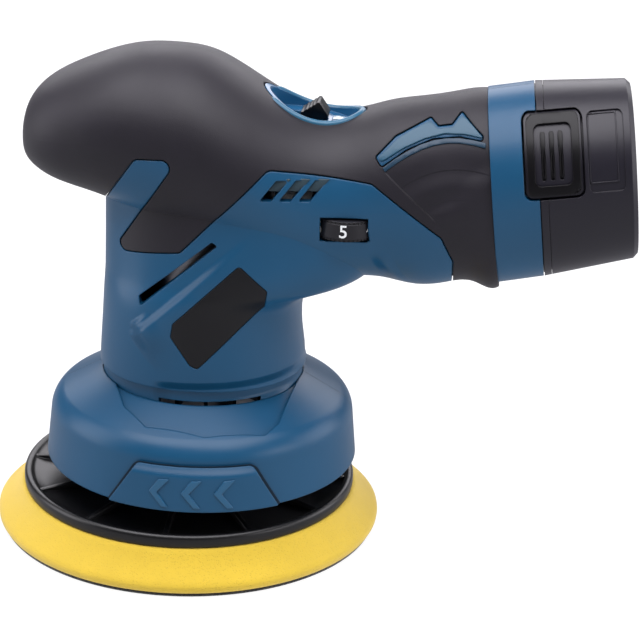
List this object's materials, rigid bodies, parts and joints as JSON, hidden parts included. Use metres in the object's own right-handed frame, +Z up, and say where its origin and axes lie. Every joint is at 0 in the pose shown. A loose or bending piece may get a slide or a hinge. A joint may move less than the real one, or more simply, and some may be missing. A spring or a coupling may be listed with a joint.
{
  "type": "dual action polisher",
  "caption": "Cordless dual action polisher: bell-shaped orbit drive and motor head, rubber covered grip, slide-on battery with side latches, foam pad on a backing plate.",
  "frame": {"origin": "on the motor's axis, in the plane of the pad's working face", "axes": "+Z up along the motor shaft, +X along the grip towards the battery, +Y to the side away from the speed dial"},
  "size_m": [0.2014, 0.125, 0.1567],
  "materials": {
    "blue_plastic": "satin blue moulded nylon",
    "grip_rubber": "matt moulded rubber",
    "black_plastic": "satin black moulded plastic",
    "battery_plastic": "satin near-black plastic",
    "blue_gloss": "glossy blue plastic",
    "lens_plastic": "clear moulded plastic",
    "screw_steel": "zinc plated steel",
    "motor_steel": "zinc plated steel sheet",
    "bearing_steel": "ground bearing steel",
    "magnet": "ferrite magnet",
    "lamination": "stacked steel sheet",
    "copper": "copper",
    "carbon": "pressed carbon",
    "zinc_casting": "die cast zinc alloy",
    "circuit_board": "glass fibre board",
    "lead_sleeve": "insulated wire",
    "plate_plastic": "satin black moulded plastic",
    "yellow_foam": "open-cell polyurethane foam",
    "hook_fabric": "hook-and-loop fabric",
    "cell_sleeve": "shrink sleeve on a steel cell"
  },
  "bodies": {
    "housing": {"housing_left": "blue_plastic", "housing_right": "blue_plastic", "grip_overmold_left": "grip_rubber", "grip_overmold_right": "grip_rubber", "shroud_left": "blue_plastic", "shroud_right": "blue_plastic", "name_plate": "black_plastic", "housing_screws": "screw_steel", "shroud_screws": "screw_steel", "switch_bezel": "blue_gloss", "switch_body": "black_plastic", "power_lens": "lens_plastic", "speed_control": "black_plastic", "controller_board": "circuit_board", "terminal_block": "black_plastic", "terminal_blades": "copper", "motor_leads": "lead_sleeve", "motor_can": "motor_steel", "motor_end_cap": "black_plastic", "motor_magnets": "magnet", "motor_mount_plate": "motor_steel", "motor_screws": "screw_steel", "brush_holders": "copper", "carbon_brushes": "carbon", "motor_bearing_outer_rings": "bearing_steel"},
    "rotor": {"motor_bearing_inner_rings": "bearing_steel", "motor_bearing_balls": "bearing_steel", "motor_shaft": "bearing_steel", "armature_core": "lamination", "armature_winding": "copper", "commutator": "copper", "cooling_fan": "black_plastic", "counterweight": "zinc_casting", "counterweight_set_screw": "screw_steel", "bearing_circlip": "screw_steel", "pad_bearing_outer_rings": "bearing_steel", "pad_bearing_balls": "bearing_steel"},
    "pad": {"pad_bearing_inner_rings": "bearing_steel", "orbit_spindle": "screw_steel", "spindle_screw": "screw_steel", "spindle_washer": "screw_steel", "backing_plate": "plate_plastic", "plate_stud": "screw_steel", "pad_foam": "yellow_foam", "hook_disc": "hook_fabric"},
    "dial": {"speed_dial": "black_plastic"},
    "slider": {"slider_knob": "black_plastic"},
    "battery": {"battery_cap": "battery_plastic", "battery_stem": "battery_plastic", "battery_cells": "cell_sleeve", "battery_link_strip": "screw_steel", "battery_screws": "screw_steel", "latch_spring_left": "screw_steel", "latch_spring_right": "screw_steel"},
    "latch_left": {"latch_button_left": "battery_plastic"},
    "latch_right": {"latch_button_right": "battery_plastic"}
  },
  "joints": [
    {"name": "rotor_spin", "type": "hinge", "parent": "housing", "child": "rotor", "pos_m": [0, 0, 0.035], "axis": [0, 0, 1], "continuous": true},
    {"name": "pad_spin", "type": "hinge", "parent": "rotor", "child": "pad", "pos_m": [-0.004, 0, 0.035], "axis": [0, 0, 1], "continuous": true},
    {"name": "dial_turn", "type": "hinge", "parent": "housing", "child": "dial", "pos_m": [0.0455, -0.0204, 0.109], "axis": [0, 0, 1], "range_deg": [-240, 60]},
    {"name": "power_slide", "type": "slide", "parent": "housing", "child": "slider", "axis": [-0.9925, 0, 0.1219], "range_m": [0, 0.005]},
    {"name": "battery_slide", "type": "slide", "parent": "housing", "child": "battery", "axis": [0.9925, 0, 0.1219], "range_m": [0, 0.06]},
    {"name": "latch_left_press", "type": "slide", "parent": "battery", "child": "latch_left", "axis": [0, 1, 0], "range_m": [0, 0.0025], "stiffness_N_per_m": 2000, "deforming": ["latch_spring_left"]},
    {"name": "latch_right_press", "type": "slide", "parent": "battery", "child": "latch_right", "axis": [0, -1, 0], "range_m": [0, 0.0025], "stiffness_N_per_m": 2000, "deforming": ["latch_spring_right"]}
  ]
}
